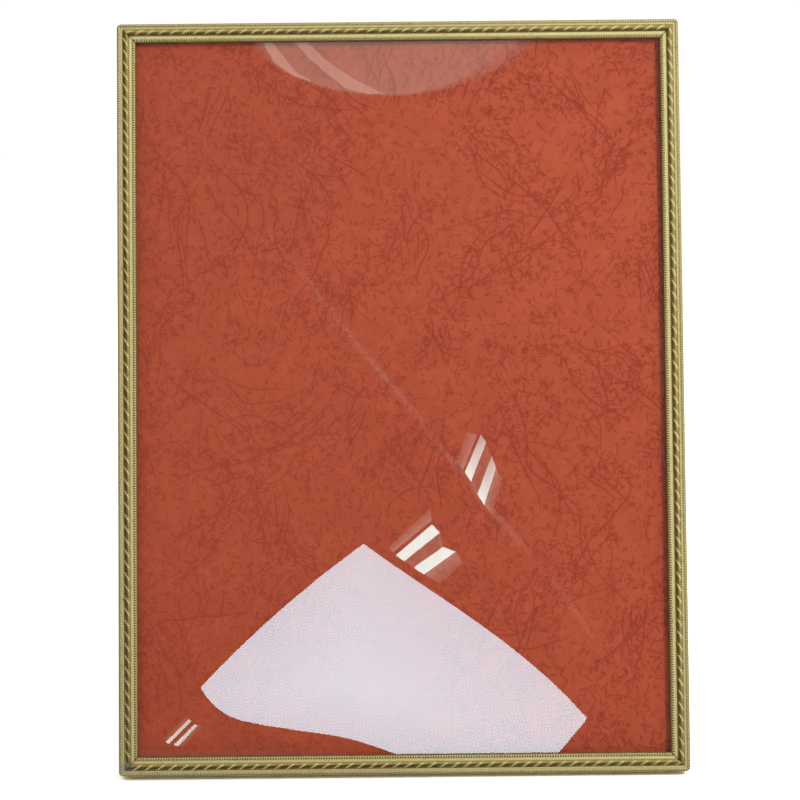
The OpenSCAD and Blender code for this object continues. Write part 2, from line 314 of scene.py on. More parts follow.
def scuff_mask(tree, place):
    """A faint broken scuff that runs straight down the glazing to the right."""
    ends = to_row([(SCUFF_START[0], 0, SCUFF_START[1]), (SCUFF_END[0], 0, SCUFF_END[1])])
    along = Vector(ends[1] - ends[0])
    length = along.length
    along.normalize()
    aside = along.cross(Vector(BACK))
    from_start = put(tree, "VectorMath", {0: place, 1: tuple(ends[0])}, operation="SUBTRACT")
    run = put(tree, "VectorMath", {0: from_start, 1: along}, "Value", operation="DOT_PRODUCT")
    off = put(tree, "VectorMath", {0: from_start, 1: aside}, "Value", operation="DOT_PRODUCT")
    wander = fitted(tree, noise(tree, 25.0, 2.0, 0.5, place), 0.004, -0.002)
    off = math_node(tree, "ABSOLUTE", math_node(tree, "ADD", off, wander))
    width = step(tree, off, 0.0016, 0.0002)
    ends = times(tree, step(tree, run, 0.0, 0.05), step(tree, run, length, length - 0.03))
    broken = fitted(tree, noise(tree, 260.0, 2.0, 0.6, place), 1.0, 0.2)
    strength = step(tree, noise(tree, 28.0, 2.0, 0.5, place), 0.30, 0.62)
    mask = times(tree, times(tree, width, ends), broken)
    return times(tree, mask, strength)


def card_colour(tree, place, share):
    """The red of the card in soft wisps and patches.

    share is what the printed grain leaves of the red. The print is faintest at the lower left.
    """
    broad = noise(tree, 14.0, 3.0, 0.55, place)
    patches = noise(tree, 130.0, 4.0, 0.62, place, 0.9)
    wisps = noise(tree, 420.0, 4.0, 0.68, place, 1.4)
    red = mixed(tree, broad, colour(0.238, 0.034, 0.0115), colour(0.285, 0.047, 0.0175))
    lighter = times(tree, step(tree, patches, 0.42, 0.66), 0.35)
    red = mixed(tree, lighter, red, colour(0.315, 0.056, 0.022))
    shade = mixed(tree, 1.0, red, colour(0.82, 0.60, 0.54), "MULTIPLY")
    red = mixed(tree, times(tree, step(tree, wisps, 0.52, 0.66), 0.5), red, shade)
    pale = step(tree, noise(tree, 2200.0, 1.0, 0.5, place), 0.74, 0.82)
    red = mixed(tree, times(tree, pale, 0.30), red, colour(0.50, 0.22, 0.15))
    across, _, height = put(tree, "SeparateXYZ", {0: place}).node.outputs
    strength = fitted(tree, height, 0.9, fitted(tree, across, 2.0, 0.70), clamp=True)
    return mixed(tree, strength, red, colour(*share), "MULTIPLY")


def card_material(name, share):
    """Printed leather-grain paper with a slight sheen and a soft tooth."""
    material, tree, place = placed_material(name)
    tooth = noise(tree, 1400.0, 3.0, 0.6, place)
    red = card_colour(tree, place, share)
    rough = fitted(tree, tooth, 0.2, 0.5)
    normal = bump(tree, tooth, 0.00004, 0.5)
    principled(tree, red, rough, {"Normal": normal, "Specular IOR Level": 0.16})
    return material


def board_material(name, low, high, scale):
    """Fibrous board or card: short random fibres over a mottled ground."""
    material, tree, place = placed_material(name)
    ground = noise(tree, scale, 4.0, 0.6, place)
    fibres = noise(tree, scale * 22, 5.0, 0.7, place, 1.5)
    base = mixed(tree, ground, colour(*low), colour(*high))
    base = mixed(tree, step(tree, fibres, 0.52, 0.66), base, mixed(tree, 0.55, base, colour(*low)))
    rough = fitted(tree, fibres, 0.2, 0.7)
    principled(tree, base, rough, {"Normal": bump(tree, fibres, 0.0001, 0.7)})
    return material


# The strut's foot is worn brown up to WORN_LOW and clean from WORN_HIGH, metres above the floor.
WORN_HIGH = 0.0042
WORN_LOW = 0.0018
WORN_RAGGED = 0.004


def paper_material():
    """Dark grey-green bookbinder's paper with a pebbled leather grain and painted shade in its valleys and
    creases, rubbed brown at the strut's foot.
    """
    material, tree, place = placed_material("dark_leather_paper")
    warp = put(tree, "TexNoise", {"Vector": place, "Scale": 260.0, "Detail": 2.0}, 1)
    moved = put(tree, "VectorMath", {0: warp, 1: (0.0016,) * 3, 2: place}, operation="MULTIPLY_ADD")
    cells = put(tree, "TexVoronoi", {"Vector": moved, "Scale": 700.0}, feature="DISTANCE_TO_EDGE")
    large = put(tree, "TexVoronoi", {"Vector": moved, "Scale": 130.0}, feature="DISTANCE_TO_EDGE")
    patches = noise(tree, 26.0, 5.0, 0.65, place, 0.6)
    valley = step(tree, cells, 0.14, 0.0)
    crease = times(tree, step(tree, large, 0.05, 0.0), step(tree, patches, 0.40, 0.55))
    faded = step(tree, patches, 0.3, 0.7)
    base = mixed(tree, faded, colour(0.024, 0.027, 0.022), colour(0.058, 0.058, 0.048))
    # Painted shade: the grain's valleys and the sunk creases are darkened.
    base = mixed(tree, math_node(tree, "MAXIMUM", valley, crease), base, colour(0.012, 0.013, 0.011))
    rubs = times(tree, step(tree, noise(tree, 120.0, 5.0, 0.7, place), 0.58, 0.72), 0.45)
    base = mixed(tree, rubs, base, colour(0.13, 0.118, 0.095))
    height = put(tree, "SeparateXYZ", {0: place}, "Z")
    ragged = fitted(tree, noise(tree, 700.0, 4.0, 0.7, place), -WORN_RAGGED, height)
    foot = step(tree, ragged, WORN_HIGH - WORN_RAGGED / 2, WORN_LOW - WORN_RAGGED / 2)
    base = mixed(tree, times(tree, foot, 0.8), base, colour(0.15, 0.085, 0.042))
    raised = step(tree, cells, 0.0, 0.25)
    relief = math_node(tree, "SUBTRACT", raised, times(tree, crease, 1.5))
    rough = fitted(tree, valley, 0.2, 0.46)
    normal = bump(tree, relief, 0.00014, 0.9)
    principled(tree, base, rough, {"Normal": normal, "Specular IOR Level": 0.45})
    return material


def steel_material():
    """Tinned sheet steel with a spangle, fine scratches and a little rust."""
    material, tree, place = placed_material("tinned_sheet")
    spangle = put(tree, "TexVoronoi", {"Vector": place, "Scale": 420.0}, "Color")
    grey = put(tree, "RGBToBW", {"Color": spangle})
    scratches = noise(tree, 1200.0, 4.0, 0.7, place, 2.0)
    base = mixed(tree, grey, colour(0.46, 0.45, 0.42), colour(0.66, 0.65, 0.61))
    rust = step(tree, noise(tree, 210.0, 5.0, 0.65, place), 0.60, 0.70)
    base = mixed(tree, times(tree, rust, 0.75), base, colour(0.17, 0.085, 0.035))
    metal = fitted(tree, rust, -0.6, 0.95)
    rough = fitted(tree, rust, 0.35, fitted(tree, scratches, 0.25, 0.2))
    normal = bump(tree, scratches, 0.00002, 0.6)
    principled(tree, base, rough, {"Metallic": metal, "Normal": normal})
    return material


def ribbon_material():
    """Dark grosgrain: ribs in the mesh with painted shade in the valleys between them, threads in the colour,
    frayed a little.
    """
    material, tree, place = placed_material("woven_ribbon")
    rib = attribute(tree, "rib")
    threads = put(tree, "TexWave", {"Vector": place, "Scale": 900.0, "Distortion": 1.5}, "Fac")
    fuzz = noise(tree, 1800.0, 4.0, 0.7, place)
    base = mixed(tree, threads, colour(0.020, 0.023, 0.017), colour(0.048, 0.052, 0.039))
    # Painted shade in the valleys between the ribs.
    base = mixed(tree, times(tree, rib, 0.6), base, colour(0.009, 0.010, 0.008))
    base = mixed(tree, step(tree, fuzz, 0.62, 0.75), base, colour(0.10, 0.10, 0.08))
    normal = bump(tree, math_node(tree, "ADD", threads, fuzz), 0.00005, 0.7)
    principled(tree, base, 0.8, {"Sheen Weight": 0.35, "Sheen Roughness": 0.4, "Normal": normal})
    return material


# ---- Rails ----

# v is the depth of a section point and w how far it lies in from the rail's outer wall.
ALONG_STEP = 0.162
MILL_PITCH = 5 * ALONG_STEP
ROPE_PITCH = 3.75
ROPE_RUN = 1.37
ROPE_RELIEF = 0.26
MILL_RELIEF = 0.24
ROPE_LEAN = math.sin(math.atan(1 / ROPE_RUN))
STRAND_LINE = 0.13
BEAD_R = 1.05
BEAD_W = 2.95
OUTER_MILL = (0.2, 1.02)
OUTER_ARCH = (0.61, 0.42)
INNER_MILL = (5.04, 5.6)
INNER_ARCH = (5.32, 0.3)
CORNER_R = 1.5
MITRE_GAP = 0.05
FLOOR_V = 1.0
LIP_V = 1.3
FACE_BACK = 2.15
GROOVES = ((1.08, 0.6), (1.88, 0.6), (4.02, 0.2), (5.0, 0.4))
GROOVE_WIDTH = 0.16
SLOT_LENGTH = 7.6
SLOT_LOW = 7.5
SLOT_HIGH = 8.5
SOLDER_PLACE = (2.6, 3.0)
SOLDER_RADIUS = 1.7
SOLDER_DEPTH = 2.0


def rail_section():
    """Points (kind, v, w) round a rail's section; kinds from outer edge inwards."""
    wall = [("wall", v, 0.0) for v in (RAIL_DEPTH, SLOT_HIGH, SLOT_LOW, 4.0, 1.25)]
    edge = [("wall", 1.02, 0.03), ("wall", 0.93, 0.12)]
    outer = [("outer", FLOOR_V, w) for w in np.linspace(*OUTER_MILL, 8)]
    floor = [("plain", FLOOR_V, w) for w in (1.2, 1.55, 1.86)]
    turns = np.linspace(math.pi, 0, 15)
    bead = [("bead", turn, BEAD_W + BEAD_R * math.cos(turn)) for turn in turns]
    slope = [("plain", v, w) for v, w in ((1.05, 4.1), (1.12, 4.5), (1.19, 4.96))]
    inner = [("inner", 1.2, w) for w in np.linspace(*INNER_MILL, 6)]
    lip_top = ((LIP_V, 5.66), (LIP_V, 5.82), (1.34, 6.0), (1.46, 6.08))
    lip = [("plain", v, w) for v, w in (*lip_top, (1.7, RAIL_FACE), (2.1, RAIL_FACE))]
    under = [("under", FACE_BACK, w) for w in (RAIL_FACE - 0.05, 3.4, RAIL_WALL + 0.02)]
    inside = [("inside", v, RAIL_WALL) for v in (2.3, 4.0, SLOT_LOW, SLOT_HIGH, RAIL_DEPTH)]
    return wall + edge + outer + floor + bead + slope + inner + lip + under + inside


def bead_relief(s, w):
    """How proud the rope is, 0 to 1, how dirty, and how worn."""
    phase = (s + ROPE_RUN * w) / ROPE_PITCH
    part = np.abs(phase - np.round(phase))
    away = part * ROPE_PITCH * ROPE_LEAN
    line = np.exp(-((away / STRAND_LINE) ** 2))
    ridge = line * smooth(3.9, 3.3, w)
    strand = np.sin(math.pi / 2 * np.clip(part * 2, 0, 1)) ** 0.8
    middle = np.exp(-((((0.5 - part) * ROPE_PITCH * ROPE_LEAN) / STRAND_LINE) ** 2))
    proud = np.maximum(ridge, 0.34 + 0.26 * strand - 0.10 * middle)
    dirt_and_shade = 0.28 + 0.5 * np.clip(1 - 1.6 * strand, 0, 1) + 0.26 * middle
    return proud, dirt_and_shade * (1 - line) ** 2, ridge**0.7


def mill_relief(s, slant):
    """Height of a milled strip's little beads, 0 to 1; slant shifts them along."""
    return np.abs(np.sin(math.pi * (s / MILL_PITCH + slant))) ** 0.8


def mill_arch(w, arch):
    """How far a milled strip bulges at w, 0 to 1; arch holds its crest and half its width."""
    crest, half = arch
    return math.sqrt(max(0.0, 1 - ((w - crest) / half) ** 2))


def corner_arc(to_corner):
    """How far the rounded outer corner cuts in at a distance from the corner."""
    inside = CORNER_R - np.minimum(to_corner, CORNER_R)
    return CORNER_R - np.sqrt(np.maximum(CORNER_R**2 - inside**2, 0))


def rail_column(kind, v, w, s):
    """Depth, inward place, tarnish with painted shade, and wear of one section point at all stations along."""
    dirt_and_shade, worn = np.zeros_like(s), np.zeros_like(s)
    deep, across = np.full_like(s, v), np.full_like(s, w)
    if kind == "bead":
        proud, dirt_and_shade, worn = bead_relief(s, w)
        side = math.sin(v)
        radius = BEAD_R - ROPE_RELIEF * (1 - proud) * (0.35 + 0.65 * side)
        deep = BEAD_R - radius * side
        across = BEAD_W + radius * math.cos(v)
        # Painted shade at the bead's feet, heavier at its outer foot than at its inner one.
        foot = 1.0 if math.cos(v) < 0 else 0.4
        dirt_and_shade = np.maximum(dirt_and_shade, foot * (1 - side * 3.2))
    elif kind == "outer":
        arch = mill_arch(w, OUTER_ARCH)
        mill = mill_relief(s, 0.55 * w)
        deep = FLOOR_V - MILL_RELIEF * arch * (0.4 + 0.6 * mill)
        # Painted shade along the outermost edge of the milled strip.
        edge = math.exp(-(((w - OUTER_MILL[0]) / 0.2) ** 2))
        dirt_and_shade = 0.55 * smooth(0.90, 0.50, mill) + 0.1 * (1 - arch) + 0.45 * edge
        worn = 0.5 * smooth(0.4, 0.9, mill)
    elif kind == "inner":
        arch = mill_arch(w, INNER_ARCH)
        mill = mill_relief(s, 0.0)
        deep = v - MILL_RELIEF * arch * (0.15 + 0.85 * mill)
        dirt_and_shade = smooth(0.96, 0.60, mill) + 0.2 * (1 - arch)
        worn = 0.8 * smooth(0.6, 0.95, mill) * arch
    elif kind == "plain":
        # Painted shade on the inner lip: it is darkened and kept from the pale wear.
        lip = smooth(5.6, 5.85, w)
        dirt_and_shade += max(depth * math.exp(-(((w - groove) / GROOVE_WIDTH) ** 2)) for groove, depth in GROOVES)
        dirt_and_shade += 0.10 * (w < 2) + 0.8 * lip
        worn += 0.54 - 0.4 * lip
    elif kind == "wall":
        dirt_and_shade += 0.25 * (v > 3)
        worn += 0.3
    return deep, across, dirt_and_shade, worn


def rail_rows(length):
    """Rail points, a row for each station: s along, v deep, w inwards, the hollows' tarnish with painted shade,
    and the wear.
    """
    section = rail_section()
    stations = int(round(length / ALONG_STEP)) + 1
    share = np.linspace(0, 1, stations)
    made = np.zeros((stations, len(section), 5))
    for k, (kind, v, w) in enumerate(section):
        trim = max(w, CORNER_R * (1 - math.sqrt(0.5))) + MITRE_GAP
        s = trim + (length - 2 * trim) * share
        deep, across, dirt_and_shade, worn = rail_column(kind, v, w, s)
        to_corner = np.minimum(s, length - s)
        if kind == "wall":
            across = across * 0.5 + np.maximum(across * 0.5, corner_arc(to_corner))
        elif w < CORNER_R:
            across = np.maximum(across, corner_arc(to_corner) + 0.1)
        mitre = np.exp(-np.maximum(to_corner - w, 0) / 0.3) * smooth(1.5, 3.0, w)
        dirt_and_shade = np.maximum(dirt_and_shade, 0.95 * mitre)
        made[:, k] = np.stack([s, deep, across, np.clip(dirt_and_shade, 0, 1), np.clip(worn, 0, 1)], axis=1)
    return section, made


def slot_stations(made, centres, column):
    """Station numbers at both ends of each latch slot."""
    s = made[:, column, 0]
    ends = (-SLOT_LENGTH / 2, SLOT_LENGTH / 2)
    return [[int(np.abs(s - (centre + end)).argmin()) for end in ends] for centre in centres]


def rail_faces(section, made, slot_centres):
    """Faces round a rail, with its latch slots open and lined, and its two ends closed."""
    stations, columns = made.shape[:2]
    outer = [k for k, p in enumerate(section) if p[0] == "wall" and p[1] in (SLOT_HIGH, SLOT_LOW)]
    inner = [k for k, p in enumerate(section) if p[0] == "inside" and p[1] in (SLOT_HIGH, SLOT_LOW)]
    slots = slot_stations(made, slot_centres, outer[0])
    faces = []
    for face in strip_faces(stations, columns, closed=True):
        station, column = divmod(face[0], columns)
        open_here = column in (outer[0], inner[0]) and any(a <= station < b for a, b in slots)
        if not open_here:
            faces.append(face)
    for a, b in slots:
        for station in range(a, b):
            here, there = station * columns, (station + 1) * columns
            for k, m in ((outer[0], inner[1]), (inner[0], outer[1])):
                faces.append((here + k, here + m, there + m, there + k))
        for station in (a, b):
            here = station * columns
            faces.append(tuple(here + k for k in (outer[0], outer[1], inner[0], inner[1])))
    faces.append(tuple(range(columns)))
    faces.append(tuple((stations - 1) * columns + k for k in range(columns)))
    return faces


def build_rail(name, length, place, slot_centres, material):
    """One rail; place() turns s and w into x and u, clockwise round the frame."""
    section, made = rail_rows(length)
    faces = rail_faces(section, made, slot_centres)
    s, v, w, dirt_and_shade, worn = made.reshape(-1, 5).T
    x, u = place(s, w)
    piece = mesh_piece(name + "_moulding", np.stack([x, v, u], axis=1), faces, material, "frame")
    point_value(piece, "tarnish_and_shade", dirt_and_shade)
    point_value(piece, "worn", worn)
    spot = np.hypot(x - (FRAME_LOW[0] + SOLDER_PLACE[0]), u - SOLDER_PLACE[1])
    point_value(piece, "solder", 0.85 * np.exp(-((spot / SOLDER_RADIUS) ** 4)) * (v < SOLDER_DEPTH))
    outward(piece)
    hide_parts(name)


def build_rails(material):
    """All four rails are the same moulding, turned a quarter each time."""
    right, left = FRAME_W / 2, -FRAME_W / 2
    pivots = sorted(to_local(JOINTS[f"turn_button_{i}"]["pos_m"])[0][2] for i in (1, 2))
    from_top = [FRAME_H - u for u in pivots]
    build_rail("rail_top", FRAME_W, lambda s, w: (left + s, FRAME_H - w), [], material)
    build_rail("rail_right", FRAME_H, lambda s, w: (right - w, FRAME_H - s), from_top, material)
    build_rail("rail_bottom", FRAME_W, lambda s, w: (right - s, w), [], material)
    build_rail("rail_left", FRAME_H, lambda s, w: (left + w, s), pivots, material)


# ---- Printed grain of the card ----

# Bundles of creases: centre x and u, heading, length, bend, count less two, spacing. Angles are in degrees.
BUNDLES = (
    (37, 170, 35, 76, 14, 6, 1.7), (31, 196, -47, 45, 6, 4, 2.6), (2, 171, 92, 27, 4, 6, 1.5),
    (-49, 179, -50, 60, 50, 3, 2.4), (-30, 185, 93, 36, -6, 2, 1.8), (-19, 191, -32, 28, 26, 2, 3.0),
    (-20, 156, -76, 44, 10, 3, 2.6), (63, 212, 91, 32, 8, 2, 2.6), (56, 219, -62, 22, 10, 3, 1.8),
    (70, 196, 78, 18, -14, 5, 1.3), (65, 131, -35, 60, -14, 4, 2.8), (63, 113, -42, 30, 8, 2, 2.6),
    (42, 100, -52, 62, 38, 3, 1.7), (63, 63, -84, 58, -8, 3, 2.4), (69, 92, -38, 26, 6, 2, 3.0),
    (-46, 98, 38, 78, 12, 6, 1.8), (-51, 117, -47, 42, 8, 4, 2.8), (-72, 44, 88, 66, 8, 3, 2.6),
    (-41, 78, -76, 30, 4, 5, 1.7), (8, 100, 88, 44, -8, 3, 3.2), (74, 45, -100, 30, 10, 3, 2.0),
    (-18, 214, -33, 34, 8, 3, 3.0), (-72, 178, 91, 50, 6, 3, 2.4), (-16, 113, 62, 26, 10, 3, 2.2),
    (30, 40, 40, 60, 12, 5, 2.0), (-20, 40, -48, 48, 10, 4, 2.6), (-60, 215, 70, 26, 10, 3, 2.0),
    (-6, 226, 88, 22, 8, 5, 1.8), (26, 224, 66, 22, -10, 3, 2.2), (12, 140, -66, 24, 8, 2, 2.4),
    (80, 160, -70, 30, 12, 3, 2.0), (-80, 140, 82, 30, -8, 3, 1.8),
)
CREASE_STEP = 0.9
FORK_SHARE = 0.55
STRAY_CREASES = 120
CARD_AREA_PER_MARK = 2.25
MARK_STEP = 0.45
FIELD_WAVES = 34
PRINT_MARGIN = 1.0
RELIEF = 0.016
BED = 0.004


def walk(start, heading, turns, stride):
    """Points of a mark that turns a little at each stride."""
    angles = heading + np.concatenate([[0], np.cumsum(turns)])
    steps = np.stack([np.cos(angles), np.sin(angles)], axis=1) * stride
    return np.asarray(start, float) + np.concatenate([[[0, 0]], np.cumsum(steps, axis=0)])


def bundle_crease(draw, bundle, i):
    """The i-th crease of a bundle, bowed with it and wandering a little."""
    x, u, heading, length, bend, count, spacing = bundle
    angle = math.radians(heading)
    along = np.array([math.cos(angle), math.sin(angle)])
    aside = np.array([-along[1], along[0]])
    steps = max(6, int(length * draw.uniform(0.3, 0.8) / CREASE_STEP))
    shift = (i - (count + 1) / 2) * spacing * draw.uniform(0.75, 1.2)
    slide = draw.uniform(-0.25, 0.25) * length
    centre = np.array([x, u]) + aside * shift + along * slide
    turn = math.radians(bend) / (length / CREASE_STEP)
    wander = draw.normal(0, 1, steps)
    wander = np.convolve(wander, np.ones(7) / 7, "same") * 0.16 + draw.normal(0, 0.03, steps)
    first = angle + draw.uniform(-0.07, 0.07) - turn * steps / 2
    path = walk((0, 0), first, wander + turn, CREASE_STEP)
    return path + (centre - path[len(path) // 2])


def crease_fork(draw, path):
    """A short branch that leaves a crease to one side."""
    at = draw.integers(2, len(path) - 4)
    side = draw.choice([-1, 1]) * draw.uniform(0.35, 0.8)
    away = math.atan2(*(path[at + 1] - path[at])[::-1]) + side
    return walk(path[at], away, draw.normal(0, 0.16, draw.integers(4, 11)), CREASE_STEP * 0.8)


def stray_crease(draw):
    """A short, nearly straight crease somewhere on the card, mostly upright."""
    start = CARD_LOW[[0, 2]] + draw.random(2) * (CARD_HIGH - CARD_LOW)[[0, 2]]
    steps = int(draw.integers(4, 17))
    heading = math.radians(90 + draw.normal(0, 24))
    return walk(start, heading, draw.normal(0, 0.12, steps), CREASE_STEP)


def crease_paths(draw):
    """Long creases in bundles, some with forks, and short strays: a path and a width each."""
    paths = []
    for bundle in BUNDLES:
        for i in range(bundle[5] + 2):
            path = bundle_crease(draw, bundle, i)
            paths.append((path, draw.uniform(0.38, 0.66)))
            if draw.random() < FORK_SHARE:
                fork = crease_fork(draw, path)
                paths.append((fork, draw.uniform(0.32, 0.50)))
    for _ in range(STRAY_CREASES):
        path = stray_crease(draw)
        paths.append((path, draw.uniform(0.32, 0.56)))
    return paths


def patch_field(draw):
    """A smooth random field that says where the small marks cluster."""
    waves = draw.normal(0, 1, (FIELD_WAVES, 2)) * 0.17
    phases = draw.uniform(0, 2 * math.pi, FIELD_WAVES)

    def field(x, u):
        total = sum(math.sin(a * x + b * u + p) for (a, b), p in zip(waves, phases))
        return total / math.sqrt(FIELD_WAVES / 2)

    return field


def grain_paths(draw):
    """Short curly marks of 1 to 3 mm in clusters, with thinner patches between."""
    field = patch_field(draw)
    paths = []
    wide, high = CARD_HIGH[0] - CARD_LOW[0], CARD_HIGH[2] - CARD_LOW[2]
    for _ in range(int(wide * high / CARD_AREA_PER_MARK)):
        x, u = CARD_LOW[0] + draw.random() * wide, CARD_LOW[2] + draw.random() * high
        chance = smooth(-0.60, 0.70, field(x, u))
        if draw.random() > 0.32 + 0.68 * chance:
            continue
        steps = int(draw.integers(2, 7))
        curl = draw.choice([-1, 1]) * draw.uniform(0.0, 0.22)
        turns = curl + draw.normal(0, 0.50, steps)
        heading = math.pi / 2 + draw.normal(0, 0.9)
        paths.append((walk((x, u), heading, turns, MARK_STEP), draw.uniform(0.34, 0.60)))
    return paths


def inside_card(path):
    """Whether a whole path keeps off the card's edges."""
    low, high = CARD_LOW[[0, 2]] + PRINT_MARGIN, CARD_HIGH[[0, 2]] - PRINT_MARGIN
    return (low <= path).all() and (path <= high).all()


def clipped(path):
    """A long path without its points off the card; a short path stays whole or goes."""
    if len(path) > 12:
        kept = [p for p in path if inside_card(p)]
        path = np.array(kept) if len(kept) > 3 else path[:0]
    return path if len(path) > 2 and inside_card(path) else path[:0]


def print_piece(name, paths, material):
    """Marks as low closed ridges on the card's face, tapered at both ends."""
    points, faces = [], []
    for path, width in paths:
        path = clipped(path)
        if not len(path):
            continue
        ahead = np.gradient(path, axis=0)
        ahead /= np.maximum(np.linalg.norm(ahead, axis=1, keepdims=True), 1e-9)
        aside = np.stack([-ahead[:, 1], ahead[:, 0]], axis=1)
        t = np.linspace(0, 1, len(path))
        half = width / 2 * (0.28 + 0.72 * np.sin(math.pi * t) ** 0.45)
        start = len(points)
        for p, n, h in zip(path, aside, half):
            for (x, u), deep in ((p + n * h, BED), (p, -RELIEF), (p - n * h, BED)):
                points.append((x, CARD_LOW[1] + deep, u))
        faces += [tuple(start + i for i in face) for face in strip_faces(len(path), 3, closed=True)]
        last = start + 3 * (len(path) - 1)
        faces += [(start + 2, start + 1, start), (last, last + 1, last + 2)]
    piece = mesh_piece(name, points, faces, material, "frame", shade_smooth=False)
    outward(piece)


def build_print(material):
    """The card's printed grain: creases, and small marks on its upper and lower half."""
    draw = np.random.default_rng(SEED)
    print_piece("insert_card_creases", crease_paths(draw), material)
    middle = (CARD_LOW[2] + CARD_HIGH[2]) / 2
    grain = grain_paths(draw)
    print_piece("insert_card_grain_upper", [mark for mark in grain if mark[0][0][1] > middle], material)
    print_piece("insert_card_grain_lower", [mark for mark in grain if mark[0][0][1] <= middle], material)


# ---- Glazing ----

GLASS_ARRIS = 0.25
GLASS_WAVE = 0.004
GLASS_INSIDE_CAD = 0.03


def build_glazing(material):
    """A cut sheet with ground arrises and the faint waves of old glass."""
    low, high = GLASS_LOW, GLASS_HIGH
    bevel = GLASS_ARRIS
    draw = np.random.default_rng(SEED)
    waves = [(draw.uniform(0.01, 0.05), draw.uniform(0, 6.3), draw.uniform(-1, 1)) for _ in range(6)]
    x, u = (
        np.concatenate([[low[k]], np.linspace(low[k] + bevel, high[k] - bevel, count), [high[k]]])
        for k, count in ((0, 46), (2, 61))
    )
    grid_x, grid_u = np.meshgrid(x, u)
    wave = sum(np.sin(f * (grid_x * k + grid_u) + p) for f, p, k in waves) * GLASS_WAVE
    inset = np.zeros_like(grid_x)
    inset[[0, -1], :] = bevel
    inset[:, [0, -1]] = bevel
    front = np.stack([grid_x, low[1] + GLASS_INSIDE_CAD + wave + inset, grid_u], axis=2).reshape(-1, 3)
    back = np.stack([grid_x, high[1] - GLASS_INSIDE_CAD + wave - inset, grid_u], axis=2).reshape(-1, 3)
    wide, tall = len(x), len(u)
    faces = strip_faces(tall, wide)
    count = wide * tall
    faces += [tuple(count + i for i in face[::-1]) for face in strip_faces(tall, wide)]
    rim = list(range(wide)) + [i * wide + wide - 1 for i in range(1, tall)]
    rim += [(tall - 1) * wide + i for i in range(wide - 2, -1, -1)]
    rim += [i * wide for i in range(tall - 2, 0, -1)]
    for i, j in zip(rim, rim[1:] + rim[:1]):
        faces.append((i, j, count + j, count + i))
    piece = mesh_piece("glazing_sheet", np.concatenate([front, back]), faces, material, "frame")
    outward(piece)
    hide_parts("glazing")


# ---- Stay ribbon ----

RIBBON_T = 0.4
RIBBON_RIB = 0.85
RIBBON_GAP = 0.05
TAB = 10.0
TAB_SHARES = np.linspace(0.04, 1, 12)
# Distances from the hinge to where the ribbon leaves the back and meets the strut.
STAY_BACK = 104.0
STAY_STRUT = 108.0
# Turn of the blend's way from the straight run towards the floor.
BLEND_TILT = math.radians(68)


def swung(angle):
    """The way (v, u) at an angle out from straight down."""
    return np.array([math.sin(angle), -math.cos(angle)])


def ribbon_line():
    """The ribbon's middle line in (v, u): up the back, out to the strut, and down the strut."""
    back_v = local_box("stay_ribbon")[0][1] + RIBBON_T / 2
    strut_in = HINGE[1] - (strut_inner_face() - RIBBON_GAP - RIBBON_T / 2)
    near = np.array([back_v, HINGE[2] - STAY_BACK])
    near_angle = math.atan2(near[0] - HINGE[1], HINGE[2] - near[1])
    far_angle = OPEN_ANGLE - math.atan2(strut_in, STAY_STRUT)
    far = HINGE[1:] + math.hypot(STAY_STRUT, strut_in) * swung(far_angle)
    run = far - near
    way = run / np.linalg.norm(run)
    way = math.cos(BLEND_TILT) * way + math.sin(BLEND_TILT) * swung(OPEN_ANGLE / 2)
    way /= np.linalg.norm(way)
    reach = run @ way
    middle = []
    for t in np.linspace(0, 1, 60):
        w = t * t * (3 - 2 * t)
        angle = near_angle + (far_angle - near_angle) * w
        ray = swung(angle)
        radius = (t * reach + (near - HINGE[1:]) @ way) / (ray @ way)
        middle.append(HINGE[1:] + ray * radius)
    tab_back = [near + np.array([0.0, TAB * k]) for k in TAB_SHARES[::-1]]
    tab_strut = [middle[-1] + swung(OPEN_ANGLE) * TAB * k for k in TAB_SHARES]
    line = np.array(tab_back + middle + tab_strut)
    return line, near, near + way * reach


def strut_inner_face():
    """Depth of the strut's inner face when it is folded flat."""
    low = to_local(cad_points("strut_cover"))[:, 1:] - HINGE[1:]
    inner_way = np.array([math.cos(OPEN_ANGLE), math.sin(OPEN_ANGLE)])
    return HINGE[1] + (low @ inner_way).min()


def even_spacing(line, stride):
    """The same line with points a stride apart."""
    run = np.concatenate([[0], np.cumsum(np.linalg.norm(np.diff(line, axis=0), axis=1))])
    at = np.linspace(0, run[-1], int(run[-1] / stride) + 1)
    return np.stack([np.interp(at, run, line[:, k]) for k in range(2)], axis=1), at


def build_ribbon(material):
    """A closed woven band with cross ribs and edges that thin out."""
    line, start, end = ribbon_line()
    line, at = even_spacing(line, RIBBON_RIB / 5)
    ahead = np.gradient(line, axis=0)
    ahead /= np.linalg.norm(ahead, axis=1, keepdims=True)
    normal = np.stack([-ahead[:, 1], ahead[:, 0]], axis=1)
    low, high = local_box("stay_ribbon")
    half = (high[0] - low[0]) / 2
    across = np.linspace(-1, 1, 15)
    points, ribs = [], []
    for (v, u), (nv, nu), s in zip(line, normal, at):
        rib = 0.5 + 0.5 * math.cos(2 * math.pi * s / RIBBON_RIB)
        for side in (1, -1):
            for a in across * side:
                edge = smooth(0.86, 1.0, abs(a))
                thick = RIBBON_T / 2 * (0.62 + 0.38 * rib) * (1 - 0.55 * edge**3)
                points.append((a * half, v + side * nv * thick, u + side * nu * thick))
                ribs.append(1 - rib)
    columns = 2 * len(across)
    faces = strip_faces(len(line), columns, closed=True)
    faces += [tuple(range(columns))[::-1], tuple((len(line) - 1) * columns + i for i in range(columns))]
    piece = mesh_piece("stay_ribbon_woven", points, faces, material, None)
    # The rib value is 1 in the valleys between ribs, where the ribbon's material paints shade.
    point_value(piece, "rib", ribs)
    outward(piece)
    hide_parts("stay_ribbon")
    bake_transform(piece)


# ---- CAD nodes that keep their own shape ----


